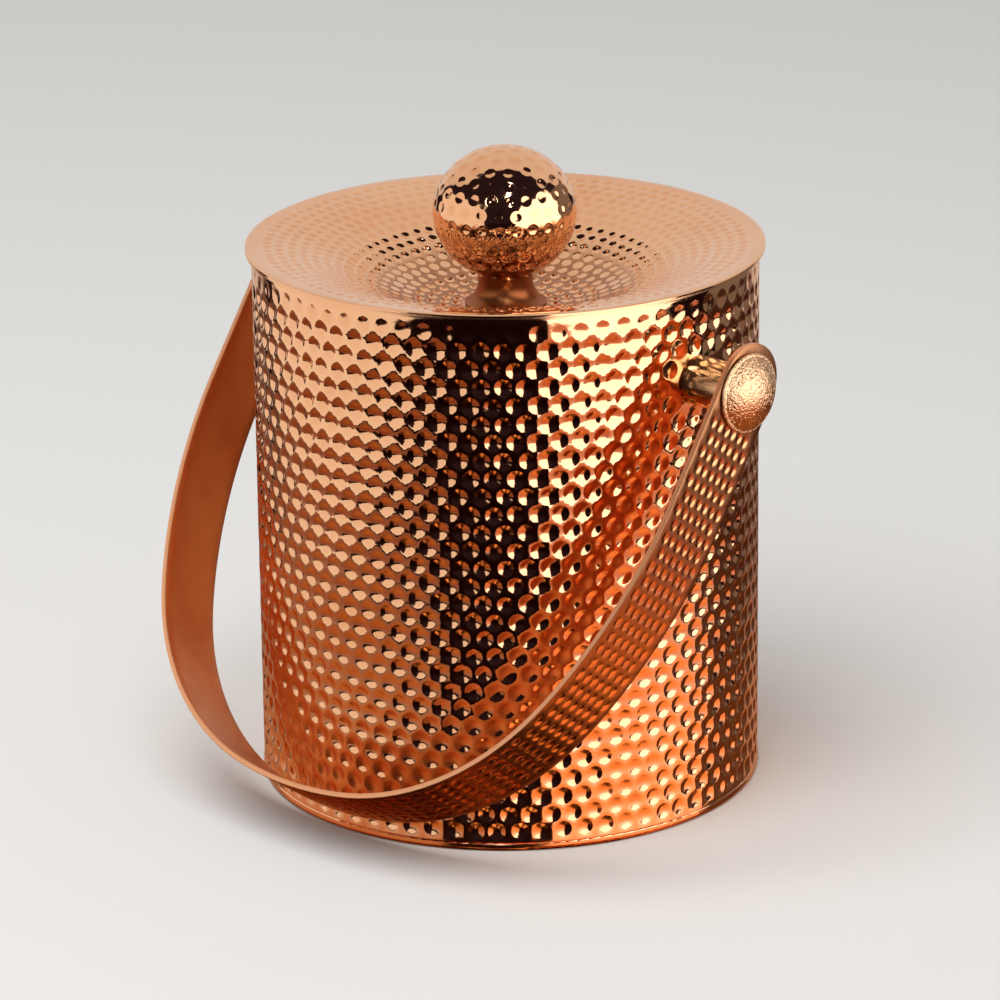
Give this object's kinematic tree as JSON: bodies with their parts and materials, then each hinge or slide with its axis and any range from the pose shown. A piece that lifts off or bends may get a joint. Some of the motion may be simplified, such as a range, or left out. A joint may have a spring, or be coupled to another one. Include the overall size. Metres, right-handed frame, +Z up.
{
  "type": "ice bucket",
  "caption": "Round double-walled ice bucket in hammered copper, with a swinging strap handle on capped pivots and a dished lift-off lid with a ball knob.",
  "frame": {"origin": "on the bucket's axis, on the plane that the foot ring stands on", "axes": "+Z up the bucket's axis, +X along the handle's pivot axis, the handle hangs towards -Y"},
  "size_m": [0.2286, 0.198, 0.2204],
  "materials": {
    "hammered_copper": "polished, hammered copper plate",
    "plain_copper": "polished copper plate",
    "strap_copper": "hammered outside, satin inside",
    "cap_metal": "finely crinkled, bright",
    "spacer_metal": "mirror polished",
    "liner_steel": "satin stainless steel",
    "hardware_steel": "zinc plated",
    "bush_plastic": "natural nylon"
  },
  "bodies": {
    "bucket": {"outer_shell": "hammered_copper", "inner_liner": "liner_steel", "rim_ring": "plain_copper", "foot_ring": "plain_copper", "base_plate": "plain_copper", "spacer_right": "spacer_metal", "nut_right": "hardware_steel", "backing_plate_right": "hardware_steel", "cap_right": "cap_metal", "stud_right": "hardware_steel", "spacer_left": "spacer_metal", "nut_left": "hardware_steel", "backing_plate_left": "hardware_steel", "cap_left": "cap_metal", "stud_left": "hardware_steel"},
    "handle": {"handle_strap": "strap_copper", "bush_right": "bush_plastic", "bush_left": "bush_plastic"},
    "lid": {"lid_dish": "hammered_copper", "lid_underside": "liner_steel", "knob_upper": "hammered_copper", "knob_lower": "hammered_copper", "knob_boss": "hardware_steel", "knob_neck": "plain_copper", "knob_stud": "hardware_steel", "knob_washer": "hardware_steel", "knob_nut": "hardware_steel"}
  },
  "joints": [
    {"name": "handle_swing", "type": "hinge", "parent": "bucket", "child": "handle", "pos_m": [0, 0, 0.1557], "axis": [-1, 0, 0], "range_deg": [0, 290]},
    {"name": "lid_lift", "type": "slide", "parent": "bucket", "child": "lid", "axis": [0, 0, 1], "range_m": [0, 0.1]}
  ]
}
